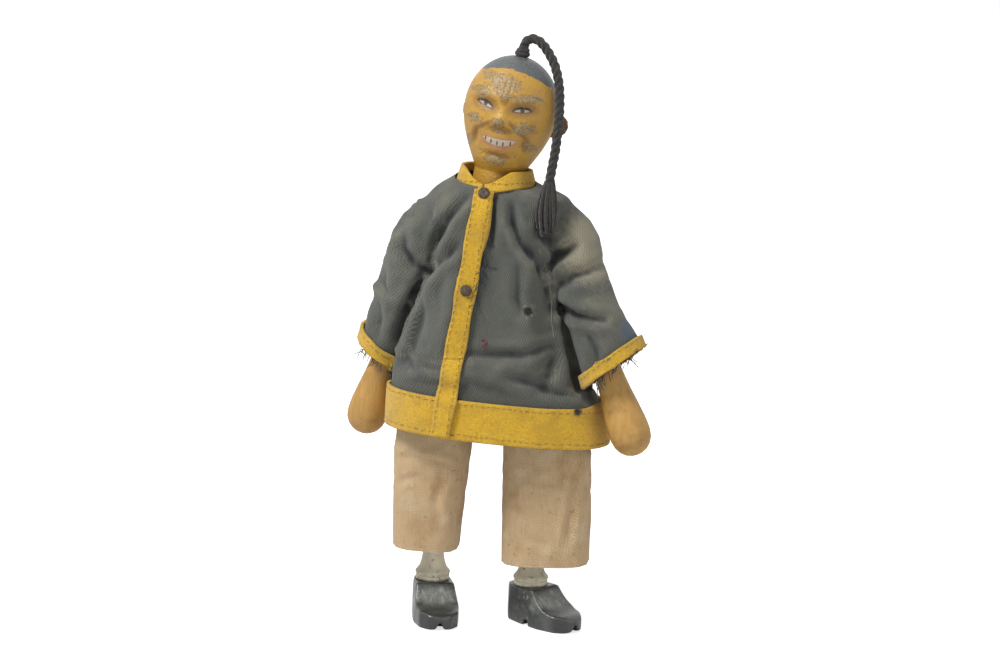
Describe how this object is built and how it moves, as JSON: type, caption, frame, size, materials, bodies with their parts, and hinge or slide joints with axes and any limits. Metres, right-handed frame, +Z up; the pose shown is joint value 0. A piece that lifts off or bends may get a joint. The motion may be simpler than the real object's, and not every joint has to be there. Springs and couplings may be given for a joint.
{
  "type": "jointed wooden figure",
  "caption": "Strung wooden figure with turned limbs, painted carved head, cord queue, cotton jacket with felt trim and cotton trousers.",
  "frame": {"origin": "on the ground, in the middle of the figure's box without its queue", "axes": "+Z up, -Y the way the figure faces, +X its left"},
  "size_m": [0.1096, 0.0498, 0.2086],
  "materials": {
    "bare_wood": "raw turned wood",
    "white_paint": "worn off-white paint on turned wood",
    "black_paint": "worn black paint on wood",
    "ochre_paint": "worn ochre paint on turned and carved wood",
    "ear_leather": "old brown leather",
    "elastic_cord": "covered elastic cord",
    "queue_cord": "plied dark cotton cord",
    "jacket_cotton": "faded slate cotton",
    "yellow_felt": "worn yellow felt",
    "trouser_cotton": "stained beige cotton twill",
    "nail_steel": "rusted nail heads"
  },
  "bodies": {
    "trunk": {"torso": "bare_wood", "shoulder_elastic": "elastic_cord", "hip_elastic": "elastic_cord", "jacket_body": "jacket_cotton", "collar": "yellow_felt", "upper_placket": "yellow_felt", "lower_placket": "yellow_felt", "upper_button": "nail_steel", "lower_button": "nail_steel", "left_skirt": "jacket_cotton", "right_skirt": "jacket_cotton", "left_hem_band": "yellow_felt", "right_hem_band": "yellow_felt", "trouser_seat": "trouser_cotton"},
    "neck_string": {"neck_elastic": "elastic_cord"},
    "head_piece": {"head": "ochre_paint", "left_ear": "ear_leather", "right_ear": "ear_leather", "queue_knot": "queue_cord", "queue_cord": "queue_cord", "queue_tassel": "queue_cord"},
    "left_arm": {"left_upper_arm": "bare_wood", "left_arm_elastic": "elastic_cord", "left_upper_sleeve": "jacket_cotton"},
    "left_lower_arm": {"left_forearm": "ochre_paint", "left_forearm_elastic": "elastic_cord", "left_lower_sleeve": "jacket_cotton", "left_cuff": "yellow_felt"},
    "left_leg": {"left_thigh": "bare_wood", "left_thigh_elastic": "elastic_cord", "left_upper_trouser": "trouser_cotton"},
    "left_lower_leg": {"left_shin": "white_paint", "left_shin_elastic": "elastic_cord", "left_lower_trouser": "trouser_cotton"},
    "left_foot": {"left_shoe": "black_paint"},
    "right_arm": {"right_upper_arm": "bare_wood", "right_arm_elastic": "elastic_cord", "right_upper_sleeve": "jacket_cotton"},
    "right_lower_arm": {"right_forearm": "ochre_paint", "right_forearm_elastic": "elastic_cord", "right_lower_sleeve": "jacket_cotton", "right_cuff": "yellow_felt"},
    "right_leg": {"right_thigh": "bare_wood", "right_thigh_elastic": "elastic_cord", "right_upper_trouser": "trouser_cotton"},
    "right_lower_leg": {"right_shin": "white_paint", "right_shin_elastic": "elastic_cord", "right_lower_trouser": "trouser_cotton"},
    "right_foot": {"right_shoe": "black_paint"}
  },
  "joints": [
    {"name": "neck_lean", "type": "hinge", "parent": "trunk", "child": "neck_string", "pos_m": [-0.00368, 0.00022, 0.1561], "axis": [0, 1, 0], "range_deg": [-24, 5]},
    {"name": "head_turn", "type": "hinge", "parent": "neck_string", "child": "head_piece", "pos_m": [-0.00368, 0.00022, 0.1561], "axis": [0.165, 0, 0.9863], "range_deg": [-90, 90], "deforming": ["queue_cord", "queue_tassel"]},
    {"name": "left_shoulder", "type": "hinge", "parent": "trunk", "child": "left_arm", "pos_m": [0.01832, 0.00022, 0.1416], "axis": [-1, 0, 0], "range_deg": [-70, 130], "deforming": ["left_upper_sleeve"]},
    {"name": "left_elbow", "type": "hinge", "parent": "left_arm", "child": "left_lower_arm", "pos_m": [0.0321, -0.00612, 0.10895], "axis": [-0.9239, -0.073, -0.3757], "range_deg": [0, 72], "deforming": ["left_lower_sleeve"]},
    {"name": "left_hip", "type": "hinge", "parent": "trunk", "child": "left_leg", "pos_m": [0.01392, 0.00022, 0.088], "axis": [-1, 0, 0], "range_deg": [-30, 90], "deforming": ["left_skirt", "left_hem_band", "left_upper_trouser"]},
    {"name": "left_knee", "type": "hinge", "parent": "left_leg", "child": "left_lower_leg", "pos_m": [0.01392, 0.00022, 0.052], "axis": [1, 0, 0], "range_deg": [0, 90], "deforming": ["left_lower_trouser"]},
    {"name": "left_ankle", "type": "hinge", "parent": "left_lower_leg", "child": "left_foot", "pos_m": [0.01392, 0.00022, 0], "axis": [0, 0, 1], "range_deg": [-60, 20]},
    {"name": "right_shoulder", "type": "hinge", "parent": "trunk", "child": "right_arm", "pos_m": [-0.02568, 0.00022, 0.1416], "axis": [-1, 0, 0], "range_deg": [-70, 130], "deforming": ["right_upper_sleeve"]},
    {"name": "right_elbow", "type": "hinge", "parent": "right_arm", "child": "right_lower_arm", "pos_m": [-0.0362, 0.0062, 0.1077], "axis": [-0.9563, -0.0508, 0.2879], "range_deg": [0, 72], "deforming": ["right_lower_sleeve"]},
    {"name": "right_hip", "type": "hinge", "parent": "trunk", "child": "right_leg", "pos_m": [-0.02128, 0.00022, 0.088], "axis": [-1, 0, 0], "range_deg": [-30, 90], "deforming": ["right_skirt", "right_hem_band", "right_upper_trouser", "lower_placket", "trouser_seat"]},
    {"name": "right_knee", "type": "hinge", "parent": "right_leg", "child": "right_lower_leg", "pos_m": [-0.02128, 0.00022, 0.052], "axis": [1, 0, 0], "range_deg": [0, 90], "deforming": ["right_lower_trouser"]},
    {"name": "right_ankle", "type": "hinge", "parent": "right_lower_leg", "child": "right_foot", "pos_m": [-0.02128, 0.00022, 0], "axis": [0, 0, 1], "range_deg": [-60, 30]}
  ]
}
